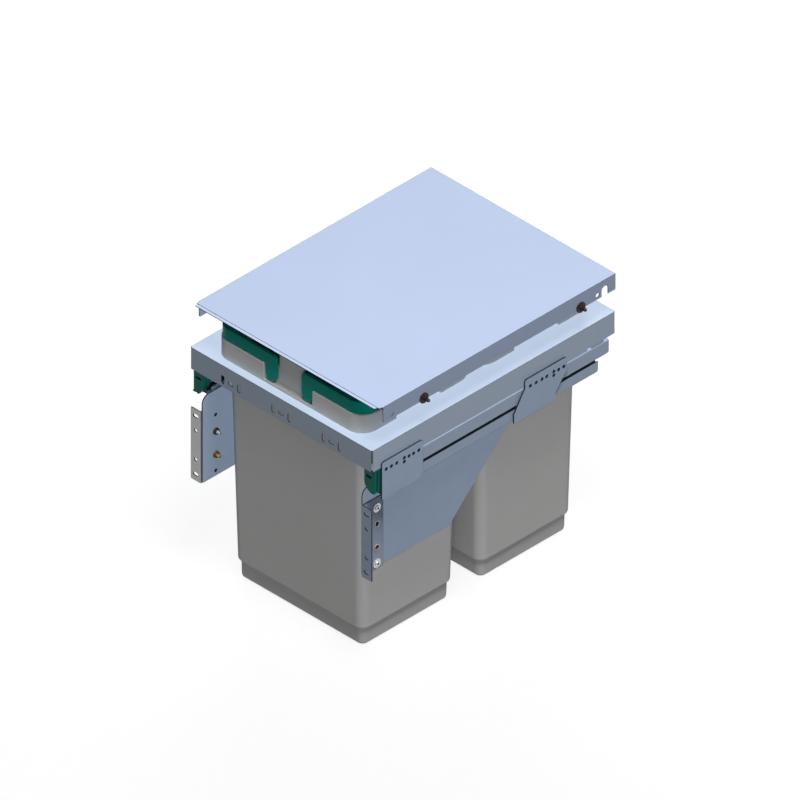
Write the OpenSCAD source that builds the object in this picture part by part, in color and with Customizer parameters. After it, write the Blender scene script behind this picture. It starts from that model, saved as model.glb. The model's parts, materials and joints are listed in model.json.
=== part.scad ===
// Pull-out waste bin frame for a 400 mm kitchen cabinet.
// A sheet steel frame carries two lift-out bins and runs on ball-bearing runners.
// The lid stays in the cabinet, and two front brackets take the cabinet's door.
//
// Millimetres. X is the width, with 0 on the cabinet's centre plane.
// Y runs from the front skirt of the frame to the rear, Z is up.
// Z = 0 is the line of fixing screws in the mounting plates.
// Every right-hand piece is drawn first, and the left-hand one is its mirror image.

/* [Cabinet] */
// Clear width between the two side panels of the cabinet
cabinet_w = 368; // [364:1:400]

/* [Top frame] */
// Depth of the frame
frame_d = 484; // [480:1:520]
// Height of the skirt round the frame
skirt_h = 37; // [32:1:42]
// Thickness of the frame's sheet
frame_t = 1.2; // [0.8:0.1:1.5]
// Width of the flange turned in at the foot of each side skirt
flange_w = 15; // [13:0.5:17]
// Gap between the side skirts and the runners below them
apron_gap = 0.6; // [0.5:0.1:3]
// Open seam between two skirts at each corner
seam = 1.6; // [1.5:0.1:3]
// Drop from the frame's top to its row of front holes
front_hole_drop = 24.5; // [20:0.5:26]
// Distance between neighbouring groups of front holes
front_group_pitch = 100; // [80:1:120]
// Distance from a group's middle to each upright slot
front_slot_side = 16; // [13:0.5:20]
// Width of the slots in the front skirt
front_slot_w = 5; // [4:0.5:6]
// Length of the upright slots in the front skirt
upright_slot_l = 13; // [10:0.5:14]
// Length of the level slot in the front skirt
level_slot_l = 10; // [8:0.5:12]
// Height of the seats between the frame and the runners
seat_h = 4; // [4:0.5:6]

/* [Bins] */
// Width of a bin's body where it passes through the frame
bin_w = 272; // [240:1:274]
// Depth of a bin's body where it passes through the frame
bin_d = 198.8; // [180:0.2:200]
// Corner radius of a bin's body
bin_r = 15.5; // [12:0.5:25]
// Narrowing of each side per millimetre of height
bin_taper = 0.022; // [0.01:0.001:0.03]
// Depth of a bin from the frame's top down to its underside
bin_drop = 384.5; // [250:0.5:400]
// Height of the foot below the step
foot_h = 30.5; // [20:0.5:40]
// Step in from the body to the foot
foot_in = 4.5; // [3:0.5:8]
// Wall thickness of a bin
bin_wall = 2.2; // [1.8:0.1:2.6]
// Overhang of the collar past the body
collar_over = 12.5; // [12:0.1:14]
// Height of the collar above the frame
collar_h = 31.5; // [29:0.5:34]
// Height above the frame of the bin's brow between the handle arms
brow_h = 61; // [57:0.5:62]
// Length of the finger recess in each side of the collar
grip_l = 88; // [60:1:100]
// Depth of the finger recess
grip_d = 6; // [4:0.5:7]
// Distance from the frame's front to the first collar
bin_front = 13.4; // [11:0.1:15]
// Distance from the first bin to the second
bin_pitch = 234.5; // [230:0.5:240]
// Gap between a bin's body and its opening in the frame
bin_gap = 2.5; // [1.5:0.1:3]

/* [Handles] */
// Distance from the bin's middle to each handle's pivot
pivot_x = 36; // [34:0.5:44]
// Height of the pivots above the frame
pivot_z = 17; // [16:0.5:17.5]
// Radius of the pivot pins on the bin
pivot_r = 4; // [3:0.25:5]
// Running clearance of a handle on its pins
pivot_clear = 0.06; // [0.03:0.01:0.1]
// Width of the arms
arm_w = 21.5; // [18:0.5:23]
// Thickness of the arms
arm_t = 6; // [5:0.5:6.5]
// Height of the handle's bar
bar_h = 20.5; // [16:0.5:21]
// Thickness of the handle's bar
bar_t = 11.5; // [9:0.5:13]
// Step in from the collar's outline to the handle's
handle_in = 1.5; // [1:0.1:2.5]
// Depth of the recess for the arms in the collar
recess_d = 8; // [7.7:0.1:9]
// Height of the ledge at the foot of the recess
ledge_h = 4.5; // [3:0.5:5]

/* [Lid] */
// Gap from the frame's top to the lid's underside
lid_gap = 66.3; // [63:0.1:80]
// Thickness of the lid's sheet
lid_t = 1.2; // [0.8:0.1:1.5]
// Gap on each side between the lid and the cabinet
lid_side_gap = 0.6; // [0.4:0.1:1.2]
// Distance from the frame's front to the lid's front bend
lid_front = 13.5; // [12:0.5:18]
// Distance from the frame's front to the lid's rear edge
lid_rear = 482; // [478:1:500]
// Height of the lid's side flanges
lid_flange_h = 27.3; // [25:0.1:34]
// Length of the lip in front of the lid
lip_l = 6.6; // [5:0.1:8]
// Rise of the lip at its front edge
lip_rise = 1.3; // [0.5:0.1:2]
// Distance from the frame's front to the first lid screw
lid_screw_front = 100; // [90:1:120]
// Distance from the front lid screw to the rear one
lid_screw_pitch = 312; // [280:1:330]
// Height of the lid screws above the flange's lower edge
lid_screw_up = 4; // [3.8:0.1:5]
// Radius of the lid screws
lid_screw_r = 3; // [2.5:0.1:3.5]
// Reach of the lid screws past the cabinet's inner face
lid_screw_reach = 12; // [8:0.5:14]

/* [Runners] */
// Distance from the frame's front to the cabinet rails
rail_front = 22; // [22:0.5:25]
// Length of the cabinet rails
cabinet_rail_l = 427; // [420:1:440]
// Length of the drawer rails
drawer_rail_l = 449.5; // [440:0.5:455]
// Height of the drawer rails
drawer_rail_h = 23; // [22:0.5:24]
// Gap between the drawer rail and the cabinet rail
rail_slit = 4.5; // [3:0.5:5]
// Height of the cabinet rails
cabinet_rail_h = 18.5; // [18:0.5:19]
// Thickness of the cabinet rails
cabinet_rail_t = 2; // [1.8:0.1:2.2]
// Thickness of the drawer rails
drawer_rail_t = 1.5; // [1.3:0.1:1.8]
// Clear width of the track inside both rails
track_w = 17; // [16.6:0.1:17.4]
// Radius of the balls
ball_r = 2; // [1.8:0.05:2.1]
// Running clearance round each ball
ball_clear = 0.1; // [0.05:0.01:0.15]
// Depth of the ball grooves in the rails
groove = 0.5; // [0.3:0.05:0.7]
// Number of balls in each row
balls = 8; // [4:1:10]
// Distance between neighbouring balls
ball_pitch = 24; // [20:1:24]
// Thickness of the ball cages
cage_t = 1.1; // [0.8:0.1:1.3]
// Travel of the pull-out
travel = 470; // [466:1:475]

/* [Mounting plates] */
// Thickness of the mounting plates
plate_t = 2.5; // [2:0.1:3]
// Gap between a mounting plate and the frame's skirt
plate_gap = 0.5; // [0.4:0.1:1]
// Height of the plates above the fixing line
plate_up = 14.6; // [12:0.1:18]
// Depth of the plates below the fixing line
plate_down = 50; // [49:0.5:60]
// Front edge of the front plates
front_plate_y = 16.5; // [15:0.5:18]
// Length of the front plates
front_plate_l = 82.5; // [80:0.5:90]
// Front edge of the rear plates' foot
rear_plate_y = 279; // [270:1:290]
// Length of the rear plates' foot
rear_plate_l = 84; // [80:1:90]
// Offset of the rear plates' head behind their foot
rear_plate_shift = 22; // [18:1:26]
// Radius of the fixing holes
fixing_r = 2.5; // [2:0.1:3]

/* [Side plates] */
// Thickness of the side plates
side_t = 2; // [1.5:0.1:2.5]
// Gap between a side plate and the cabinet rail
side_gap = 0.5; // [0.3:0.1:0.9]
// Front edge of the side plates
side_front = 1.5; // [0:0.5:3]
// Depth of the side plates below the fixing line
side_down = 184; // [184:1:200]
// Length of the side plates' lower edge up to the slanted one
side_foot_l = 173.5; // [160:0.5:190]
// Depth of the low front part's upper edge below the fixing line
side_step_z = 35.5; // [33:0.5:40]
// Distance from the frame's front to where the side plate rises
side_step_y = 62; // [55:1:66]

/* [Front brackets] */
// Thickness of the front brackets
bracket_t = 2; // [1.5:0.1:2.5]
// Width of the door flange
door_flange_w = 20; // [18:0.5:20.5]
// Length of the bracket's leg on the side plate
leg_l = 41.6; // [38:0.1:50]
// Height of the front brackets
bracket_h = 123; // [122:1:140]
// Depth of the brackets' middle below the fixing line
bracket_mid = 123; // [115:0.5:123]
// Distance between the two round door holes
door_hole_pitch = 50; // [45:1:60]
// Distance between the two door slots
door_slot_pitch = 100; // [96:1:104]
// Radius of the door holes, and half the width of the slots
door_hole_r = 2.75; // [2:0.05:3]
// Length of the door slots
door_slot_l = 10; // [8:0.5:12]
// Distance from the frame's front to the row of bracket screws
leg_hole_y = 28; // [24:0.5:30]
// Distance between the two bracket screws
bracket_screw_pitch = 96; // [90:1:98]
// Distance between the two adjusting studs
stud_pitch = 40; // [35:1:50]
// Drop of the screw row's middle below the bracket's middle
screw_row_drop = 3.5; // [0:0.5:4]
// Radius of the bracket screws
bracket_screw_r = 2.5; // [2:0.1:3]

/* [Release levers] */
// Radius of the levers' pins
lever_pin_r = 1.5; // [1:0.1:1.6]
// Running clearance of a lever on its pin
lever_clear = 0.05; // [0.03:0.01:0.1]
// Thickness of the levers
lever_t = 6.8; // [6:0.1:7.4]
// Depth of the couplings and levers below the frame
coupling_h = 41; // [38:0.5:41]

/* [Hidden] */
$fn = 48;

// A small amount by which a cut runs past the face that it opens
cut = 1;

// Colours
steel = [0.60, 0.66, 0.74];
dark_steel = [0.37, 0.42, 0.48];
pale_steel = [0.74, 0.80, 0.90];
bin_grey = [0.50, 0.50, 0.50];
grip_green = [0.03, 0.34, 0.29];
black = [0.12, 0.11, 0.11];
brass_colour = [0.78, 0.66, 0.30];
silver = [0.82, 0.83, 0.85];

// Width, from the cabinet wall inwards
plate_in = cabinet_w / 2 - plate_t;
track_out = plate_in - cabinet_rail_t;
track_mid = track_out - track_w / 2;
track_in = track_out - track_w;
cabinet_rail_in = track_in - cabinet_rail_t;
frame_half = plate_in - plate_gap;
drawer_rail_in = track_in - drawer_rail_t;
side_out = cabinet_rail_in - side_gap;
side_in = side_out - side_t;
leg_out = side_out + bracket_t;
door_hole_x = side_out + door_flange_w / 2;
coupling_inset = 0.5;
coupling_out = frame_half - coupling_inset;
coupling_in = cabinet_rail_in;

// Heights
skirt_foot = seat_h;
frame_top = seat_h + skirt_h;
collar_top = frame_top + collar_h;
cabinet_rail_top = -drawer_rail_h - rail_slit;
cabinet_rail_foot = cabinet_rail_top - cabinet_rail_h;
lip_step = 2;
bead_h = 11;
bead_groove = 0.6;
upper_ball_drop = 10.5;
lower_ball_rise = 10;
upper_ball_z = -drawer_rail_t - upper_ball_drop;
lower_ball_z = cabinet_rail_foot + cabinet_rail_t + lower_ball_rise;
bead_half = track_w / 2 + groove - 2 * (ball_r + ball_clear) + bead_groove;
ball_side = track_w / 2 + groove - ball_r - ball_clear;
bead_wall = 1.6;
lid_under = frame_top + lid_gap;
lid_flange_foot = lid_under + lid_t - lid_flange_h;
lid_screw_z = lid_flange_foot + lid_screw_up;
lid_half = cabinet_w / 2 - lid_side_gap;
side_foot = -side_down;
bracket_foot = -bracket_mid - bracket_h / 2;
bracket_top = -bracket_mid + bracket_h / 2;
screw_row_z = -bracket_mid - screw_row_drop;
coupling_foot = skirt_foot - coupling_h;

// Depths
cabinet_rail_rear = rail_front + cabinet_rail_l;
rail_step = 0.5;
drawer_rail_front = rail_front - rail_step;
drawer_rail_rear = drawer_rail_front + drawer_rail_l;
buffer_l = 8;
closing_gap = 0.3;
middle_in = 8;
middle_front = rail_front + middle_in;
middle_rear = cabinet_rail_rear - buffer_l - closing_gap;
cage_l = (balls - 1) * ball_pitch + 3.5 * ball_r;
cage_start = 0.5;
lower_cage_y = rail_front + travel / 4 + cage_start;
upper_cage_y = middle_front + travel / 4 + cage_start;
bin_mid = bin_front + collar_over + bin_d / 2;

// Fixing holes, as distances behind a plate's front edge
front_fixing = [8.5, 19, 29.5, 54, 63, 73.5];
front_fixing_pair = 44.5;
rear_fixing = [33, 44.5, 56, 65.5, 89, 99.5];
rear_fixing_pair = 79.5;
pair_up = 1.5;
pair_down = 5;

// Edges of the sheet metal
sheet_corner_r = 1.5;
plate_top_r = 5;
plate_foot_r = 2;
plate_bend_r = 4;
rail_corner_r = 2.5;
rail_end_r = 6;
drawer_rail_end_r = 4;

// Plain shapes

// A rectangle between two corners, with round corners
module round_box(x0, y0, x1, y1, r) {
    translate([x0 + r, y0])
        square([x1 - x0 - 2 * r, y1 - y0]);
    translate([x0, y0 + r])
        square([x1 - x0, y1 - y0 - 2 * r]);
    for (x = [x0 + r, x1 - r], y = [y0 + r, y1 - r])
        translate([x, y])
            circle(r);
}

// A rectangle round the origin, with round corners
module round_rect(w, d, r) {
    round_box(-w / 2, -d / 2, w / 2, d / 2, r);
}

// A slot with round ends, along the first axis
module slot(l, w) {
    square([l - w, w], center = true);
    for (s = [-1, 1])
        translate([s * (l - w) / 2, 0])
            circle(w / 2);
}

// Draws an outline in width and height along Y from y0
module along_y(y0, l) {
    translate([0, y0 + l, 0])
        rotate([90, 0, 0])
            linear_extrude(l)
                children();
}

// Draws an outline in depth and height across X from x0
module across_x(x0, l) {
    translate([x0, 0, 0])
        rotate([90, 0, 90])
            linear_extrude(l)
                children();
}

// A round rod along X from x0 to x1
module rod_x(x0, x1, y, z, r, tip = undef) {
    translate([x0, y, z])
        rotate([0, 90, 0])
            cylinder(h = x1 - x0, r1 = r, r2 = is_undef(tip) ? r : tip);
}

// The left-hand copy of a right-hand piece
module left() {
    mirror([1, 0, 0])
        children();
}

// The right-hand pieces and their left-hand copies
module both() {
    children();
    left()
        children();
}

// The points of one rounded corner: p is the corner, a and b its neighbours
function unit(v) = v / norm(v);
function xy(p) = [p[0], p[1]];
function corner(a, p, b, r, n = 6) =
    let (
        u = unit(a - p),
        v = unit(b - p),
        half = acos(u * v) / 2,
        c = p + unit(u + v) * r / sin(half),
        s = p + u * r / tan(half) - c,
        e = p + v * r / tan(half) - c,
        a0 = atan2(s[1], s[0]),
        turn = atan2(s[0] * e[1] - s[1] * e[0], s * e)
    )
    [for (i = [0 : n]) c + r * [cos(a0 + turn * i / n), sin(a0 + turn * i / n)]];

// An outline of [x, y, radius] corners
function outline(p) = [
    for (i = [0 : len(p) - 1])
        let (
            a = xy(p[(i + len(p) - 1) % len(p)]),
            b = xy(p[(i + 1) % len(p)])
        )
        each p[i][2] > 0 ? corner(a, xy(p[i]), b, p[i][2]) : [xy(p[i])]
];

// Cabinet side

plate_rivet_r = 2.5;
plate_rivet_in = 14;
plate_rivet_up = 3;
plate_rivet_z = cabinet_rail_foot + cabinet_rail_t + plate_rivet_up;
front_rivet_y = [front_plate_y + plate_rivet_in, front_plate_y + front_plate_l - plate_rivet_in];
rear_rivet_y = [rear_plate_y + plate_rivet_in, rear_plate_y + rear_plate_l - plate_rivet_in];

// The row of fixing holes, with one pair above and below the line
module fixing_holes(y0, singles, pair) {
    for (y = singles)
        translate([y0 + y, 0])
            circle(fixing_r);
    for (z = [pair_up, -pair_down])
        translate([y0 + pair, z])
            circle(fixing_r);
}

module rivet_holes_2d(ys, z, r) {
    for (y = ys)
        translate([y, z])
            circle(r);
}

module front_mounting_plate() {
    rear = front_plate_y + front_plate_l;
    color(steel)
        across_x(plate_in, plate_t)
            difference() {
                polygon(outline([
                    [front_plate_y, -plate_down, plate_foot_r],
                    [rear, -plate_down, plate_foot_r],
                    [rear, plate_up, plate_top_r],
                    [front_plate_y, plate_up, plate_top_r]
                ]));
                fixing_holes(front_plate_y, front_fixing, front_fixing_pair);
                rivet_holes_2d(front_rivet_y, plate_rivet_z, plate_rivet_r);
            }
}

// Heights of the rear plate's foot, in front and behind, and of its shoulder below the fixing line
rear_foot_front_h = 16;
rear_foot_rear_h = 15;
rear_shoulder_drop = 9;

module rear_mounting_plate() {
    foot_rear = rear_plate_y + rear_plate_l;
    head = rear_plate_y + rear_plate_shift;
    head_rear = foot_rear + rear_plate_shift;
    color(steel)
        across_x(plate_in, plate_t)
            difference() {
                polygon(outline([
                    [rear_plate_y, -plate_down, plate_foot_r],
                    [foot_rear, -plate_down, plate_foot_r],
                    [foot_rear, rear_foot_rear_h - plate_down, plate_bend_r],
                    [head_rear, -rear_shoulder_drop, plate_bend_r],
                    [head_rear, plate_up, plate_top_r],
                    [head, plate_up, plate_top_r],
                    [head, 0, plate_bend_r],
                    [rear_plate_y, rear_foot_front_h - plate_down, plate_bend_r]
                ]));
                fixing_holes(rear_plate_y, rear_fixing, rear_fixing_pair);
                rivet_holes_2d(rear_rivet_y, plate_rivet_z, plate_rivet_r);
            }
}

// Flush rivets that hold the plates on the cabinet rails
module mounting_plate_rivets() {
    color(silver)
        both()
            for (y = concat(front_rivet_y, rear_rivet_y))
                rod_x(track_out, cabinet_w / 2, y, plate_rivet_z, plate_rivet_r);
}

// An open channel: wall is its sheet, z0 its closed side and z1 its open side
module channel(wall, z0, z1, ball_z) {
    up = z1 > z0 ? 1 : -1;
    high = abs(z1 - z0);
    past = 2 * rail_corner_r;
    x0 = track_in - wall;
    x1 = track_out + wall;
    translate([0, z0])
        scale([1, up])
            difference() {
                round_box(x0, 0, x1, high + past, rail_corner_r);
                round_box(track_in, wall, track_out, high + 2 * past, rail_corner_r - wall / 2);
                translate([x0 - cut, high])
                    square([x1 - x0 + 2 * cut, past + cut]);
                translate([x0 - cut, high - lip_step])
                    square([track_w / 2, lip_step + cut]);
                for (s = [-1, 1])
                    translate([track_mid + s * ball_side, up * (ball_z - z0)])
                        circle(ball_r + ball_clear);
            }
}

module cabinet_rail() {
    color(steel)
        difference() {
            along_y(rail_front, cabinet_rail_l)
                channel(cabinet_rail_t, cabinet_rail_foot, cabinet_rail_top, lower_ball_z);
            for (y = concat(front_rivet_y, rear_rivet_y))
                rod_x(track_out - cut, plate_in + cut, y, plate_rivet_z, plate_rivet_r);
            // The rear corner of the outer wall is rounded
            across_x(track_out - cut, cabinet_rail_t + 2 * cut)
                corner_cut(cabinet_rail_rear, cabinet_rail_foot, rail_end_r);
        }
}

// The waste outside a rounded lower rear corner
module corner_cut(y, z, r) {
    difference() {
        translate([y - r, z - cut])
            square([r + cut, r + cut]);
        translate([y - r, z + r])
            circle(r);
        translate([y - r - cut, z])
            square([cut, r]);
    }
}

// Rubber buffers that the middle rails close against
buffer_r = 1;

module closing_buffers() {
    floor_z = cabinet_rail_foot + cabinet_rail_t;
    color(black)
        both()
            along_y(cabinet_rail_rear - buffer_l, buffer_l)
                round_box(track_mid - bead_half, floor_z, track_mid + bead_half,
                    lower_ball_z + bead_h / 2, buffer_r);
}

// Runner

bead_r = 2;
bead_inner_r = 0.8;
middle_web = 3.2;

module bead(ball_z) {
    half = bead_half;
    difference() {
        round_box(track_mid - half, ball_z - bead_h / 2, track_mid + half, ball_z + bead_h / 2,
            bead_r);
        round_box(track_mid - half + bead_wall, ball_z - bead_h / 2 + bead_wall,
            track_mid + half - bead_wall, ball_z + bead_h / 2 - bead_wall, bead_inner_r);
        for (s = [-1, 1])
            translate([track_mid + s * ball_side, ball_z])
                circle(ball_r + ball_clear);
    }
}

module middle_rail() {
    z0 = lower_ball_z + bead_h / 2 - bead_wall / 2;
    z1 = upper_ball_z - bead_h / 2 + bead_wall / 2;
    color(silver)
        along_y(middle_front, middle_rear - middle_front) {
            bead(upper_ball_z);
            bead(lower_ball_z);
            translate([track_mid - middle_web / 2, z0])
                square([middle_web, z1 - z0]);
        }
}

cage_floor_gap = 3;
cage_hole_clear = 0.15;

// A trough round the middle rail's bead, seen with its floor down and the balls at 0
module cage_outline() {
    inner = ball_side - cage_t / 2;
    outer = ball_side + cage_t / 2;
    floor_drop = bead_h / 2 + cage_floor_gap;
    difference() {
        round_box(track_mid - outer, -floor_drop, track_mid + outer, 2 * ball_r, cage_t / 3);
        translate([track_mid - inner, cage_t - floor_drop])
            square([2 * inner, 2 * floor_drop]);
    }
}

// A ball cage whose floor lies below the balls, or above them where up is -1
module ball_cage(y0, ball_z, up) {
    color(black)
        difference() {
            along_y(y0, cage_l)
                translate([0, ball_z])
                    scale([1, up])
                        cage_outline();
            for (y = ball_places(y0))
                rod_x(track_in, track_out, y, ball_z, ball_r + cage_hole_clear);
        }
}

// Where the balls of a cage that starts at y0 sit
function ball_places(y0) = [
    for (i = [0 : balls - 1]) y0 + cage_l / 2 + (i - (balls - 1) / 2) * ball_pitch
];

module ball_rows(y0, ball_z) {
    color(silver)
        for (y = ball_places(y0), s = [-1, 1])
            translate([track_mid + s * ball_side, y, ball_z])
                sphere(ball_r);
}

side_rivet_r = 2.5;
side_rivet_z = -5;
side_rivet_in = [18, 29];
side_slant_rear = side_front + side_foot_l + side_down;
side_rivet_span = side_slant_rear - side_step_y - side_rivet_in[0] - side_rivet_in[1];
side_rivet_y = [for (i = [0 : 3]) side_step_y + side_rivet_in[0] + i * side_rivet_span / 3];

// Holes for the rear seat's peg, in the rail and in the frame's flange
seat_l = 24;
seat_rear_in = 10;
seat_side = 0.3;
seat_y = drawer_rail_rear - seat_rear_in - seat_l;
seat_peg_r = 3;
peg_past = 0.8;
peg_fit = 0.05;
peg_below = 0.6;

module drawer_rail() {
    color(steel)
        difference() {
            along_y(drawer_rail_front, drawer_rail_l)
                channel(drawer_rail_t, 0, -drawer_rail_h, upper_ball_z);
            for (y = side_rivet_y)
                rod_x(drawer_rail_in - cut, track_in + cut, y, side_rivet_z, side_rivet_r);
            translate([track_mid, seat_y + seat_l / 2, -drawer_rail_t - cut])
                cylinder(h = drawer_rail_t + 2 * cut, r = seat_peg_r);
            across_x(track_in - drawer_rail_t - cut, track_w + 2 * drawer_rail_t + 2 * cut)
                corner_cut(drawer_rail_rear, -drawer_rail_h, drawer_rail_end_r);
        }
}

// Top frame

boss_r = 3;
front_boss_in = 8;
front_boss_pitch = 22;
front_boss_y = [rail_front + front_boss_in, rail_front + front_boss_in + front_boss_pitch];
skirt_corner_r = 1;
skirt_relief = 9;

module front_holes() {
    for (g = [-1, 0, 1])
        translate([g * front_group_pitch, frame_top - front_hole_drop]) {
            slot(level_slot_l, front_slot_w);
            for (s = [-1, 1])
                translate([s * front_slot_side, 0])
                    rotate(90)
                        slot(upright_slot_l, front_slot_w);
        }
}

module bin_openings() {
    for (b = [0, 1])
        translate([0, bin_mid + b * bin_pitch])
            round_rect(bin_w + 2 * bin_gap, bin_d + 2 * bin_gap, bin_r + bin_gap);
}

// Between the reliefs for the coupling and the rear seat the side skirts reach down to the runners
apron_front = drawer_rail_front + skirt_relief;
apron_rear = seat_y - skirt_relief;

module top_frame() {
    skirt_w = frame_half - seam;
    color(pale_steel) {
        // Top
        translate([0, 0, frame_top - frame_t])
            linear_extrude(frame_t)
                difference() {
                    translate([-frame_half, 0])
                        square([2 * frame_half, frame_d]);
                    bin_openings();
                    for (x = [-frame_half, frame_half], y = [0, frame_d])
                        translate([x, y])
                            square(2 * seam, center = true);
                }
        // Front and rear skirts
        along_y(0, frame_t)
            difference() {
                round_box(-skirt_w, skirt_foot, skirt_w, frame_top, skirt_corner_r);
                front_holes();
            }
        along_y(frame_d - frame_t, frame_t)
            round_box(-skirt_w, skirt_foot, skirt_w, frame_top, skirt_corner_r);
        // Side skirts and the flanges at their feet
        both() {
            across_x(frame_half - frame_t, frame_t) {
                round_box(seam, skirt_foot, frame_d - seam, frame_top, skirt_corner_r);
                round_box(apron_front, apron_gap, apron_rear, frame_top - frame_t, skirt_corner_r);
            }
            difference() {
                translate([frame_half - flange_w, 2 * seam, skirt_foot])
                    cube([flange_w, frame_d - 4 * seam, frame_t]);
                for (y = concat(front_boss_y, [seat_y + seat_l / 2]))
                    translate([track_mid, y, skirt_foot - cut])
                        cylinder(h = frame_t + 2 * cut, r = boss_r);
            }
        }
    }
}

// The rear seat lies on the drawer rail and pegs the frame to it
module rear_seat() {
    seat_in = track_mid - flange_w / 2 + 1;
    color(steel) {
        translate([seat_in, seat_y, 0])
            cube([frame_half - seat_side - seat_in, seat_l, seat_h]);
        translate([track_mid, seat_y + seat_l / 2, -drawer_rail_t - peg_below])
            cylinder(h = drawer_rail_t + peg_below + seat_h + frame_t + peg_past,
                r = seat_peg_r - peg_fit);
    }
}

// Front coupling and release lever

lever_front = 4.6;
lever_y = lever_front + lever_t / 2;
lever_pin_x = coupling_out - lever_t / 2;
coupling_top_t = 3;
coupling_lug_t = 2.2;
coupling_corner_r = 1.5;
coupling_seat_w = 12;
coupling_seat_past = 12;
lever_gap = 0.4;
lever_end_gap = 0.3;
coupling_block_y = lever_front + lever_t + lever_gap;
coupling_rear_gap = 1;
coupling_rear = drawer_rail_front - coupling_rear_gap;
coupling_seat_l = front_boss_y[1] + coupling_seat_past - coupling_rear;
tongue_in = 12;
tongue_x = lever_pin_x - tongue_in;
tongue_w = 4;
tongue_h = 4;
tongue_drop = 11;
tongue_z = skirt_foot - tongue_drop;
tongue_hook = 1.8;
tongue_clear = 0.6;
tongue_swing = 1;
finger_slot = [11, 5];
finger_slot_in = 9;
finger_slot_drop = 14.6;
finger_slot_depth = 4;

// The front view of the coupling: its lower inner corner is one large round
module coupling_outline(z0, z1) {
    w = coupling_out - coupling_in;
    intersection() {
        polygon(outline([
            [coupling_in, skirt_foot, 0],
            [coupling_in, coupling_foot, w * 0.9],
            [coupling_out, coupling_foot, coupling_corner_r],
            [coupling_out, skirt_foot, 0]
        ]));
        translate([coupling_in, z0])
            square([w, z1 - z0]);
    }
}

module front_coupling() {
    color(grip_green)
        difference() {
            union() {
                // Block behind the lever
                along_y(coupling_block_y, coupling_rear - coupling_block_y)
                    coupling_outline(coupling_foot, skirt_foot);
                // Lugs above and below the lever
                along_y(lever_front, coupling_block_y - lever_front) {
                    coupling_outline(skirt_foot - coupling_top_t, skirt_foot);
                    coupling_outline(coupling_foot, coupling_foot + coupling_lug_t);
                }
                // Seat between the frame's flange and the drawer rail
                translate([track_mid - coupling_seat_w / 2, coupling_rear - cut, 0])
                    cube([coupling_seat_w, coupling_seat_l + cut, seat_h]);
                for (y = front_boss_y)
                    translate([track_mid, y, seat_h - cut])
                        cylinder(h = frame_t + peg_past + cut, r = boss_r);
            }
            // Window for the lever's tongue
            translate([coupling_in - cut, coupling_block_y - cut, tongue_z - tongue_clear])
                cube([
                    tongue_x + tongue_w + tongue_swing - coupling_in + cut,
                    coupling_rear - coupling_block_y + 2 * cut,
                    tongue_h + 2 * tongue_clear
                ]);
            translate([lever_pin_x, lever_y, coupling_foot - cut])
                cylinder(h = coupling_h + 2 * cut, r = lever_pin_r);
        }
}

// One upright steel pin for each lever, held in the coupling's lugs
module lever_pins() {
    color(silver)
        both()
            translate([lever_pin_x, lever_y, coupling_foot + lever_end_gap])
                cylinder(h = coupling_h - 2 * lever_end_gap, r = lever_pin_r);
}

module release_lever() {
    low = coupling_foot + coupling_lug_t + lever_end_gap;
    high = skirt_foot - coupling_top_t - lever_end_gap;
    color(grip_green)
        difference() {
            union() {
                intersection() {
                    along_y(lever_front - cut, lever_t + 2 * cut)
                        coupling_outline(low, high);
                    translate([0, 0, low])
                        linear_extrude(high - low) {
                            translate([coupling_in, lever_front])
                                square([lever_pin_x - coupling_in, lever_t]);
                            translate([lever_pin_x, lever_y])
                                circle(lever_t / 2);
                        }
                }
                translate([tongue_x, lever_y, tongue_z])
                    cube([tongue_w, drawer_rail_front + tongue_hook - lever_y, tongue_h]);
            }
            // Finger slot in the lever's face
            along_y(lever_front - cut, finger_slot_depth + cut)
                translate([coupling_in + finger_slot_in, skirt_foot - finger_slot_drop])
                    slot(finger_slot[0], finger_slot[1]);
            translate([lever_pin_x, lever_y, low - cut])
                cylinder(h = high - low + 2 * cut, r = lever_pin_r + lever_clear);
        }
}

// Side plates and front brackets

screw_z = [screw_row_z - bracket_screw_pitch / 2, screw_row_z + bracket_screw_pitch / 2];
upper_stud_z = screw_row_z + stud_pitch / 2;
lower_stud_z = screw_row_z - stud_pitch / 2;
stud_r = 3;
stud_leg_r = 5.1;
stud_fit = 0.1;
stud_past = 1;
stud_base_l = 4;
stud_base_r = [4.6, 5.6];
stud_tip_l = 5;
stud_tip_r = [2.2, 3];
stud_socket_r = 3.2;
stud_socket_in = 0.5;
washer_t = 1.4;
washer_r = 7.3;
screw_hole_clear = 0.4;
screw_end_in = 0.5;
screw_head_t = 1.8;
screw_head_r = [4.4, 3.8];
screw_socket_r = 2;
screw_socket_floor = 0.2;
side_foot_r = 3;
side_foot_rear_r = 20;
side_inner_r = 4;
side_front_r = 13;

module side_plate() {
    color(steel)
        across_x(side_in, side_t)
            difference() {
                polygon(outline([
                    [side_front, side_foot, side_foot_r],
                    [side_front + side_foot_l, side_foot, side_foot_rear_r],
                    [side_slant_rear, 0, side_foot_r],
                    [side_step_y, 0, side_foot_r],
                    [side_step_y, -side_step_z, side_inner_r],
                    [side_front, -side_step_z, side_front_r]
                ]));
                rivet_holes_2d(side_rivet_y, side_rivet_z, side_rivet_r);
                for (z = screw_z)
                    translate([leg_hole_y, z])
                        circle(bracket_screw_r);
                for (z = [upper_stud_z, lower_stud_z])
                    translate([leg_hole_y, z])
                        circle(stud_r);
            }
}

// Shouldered rivets: the shoulder keeps the plate clear of the cabinet rail
rivet_head_t = 1.6;
rivet_head_r = 4;
rivet_head_rise = 0.3;
rivet_shoulder = 1.5;

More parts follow.
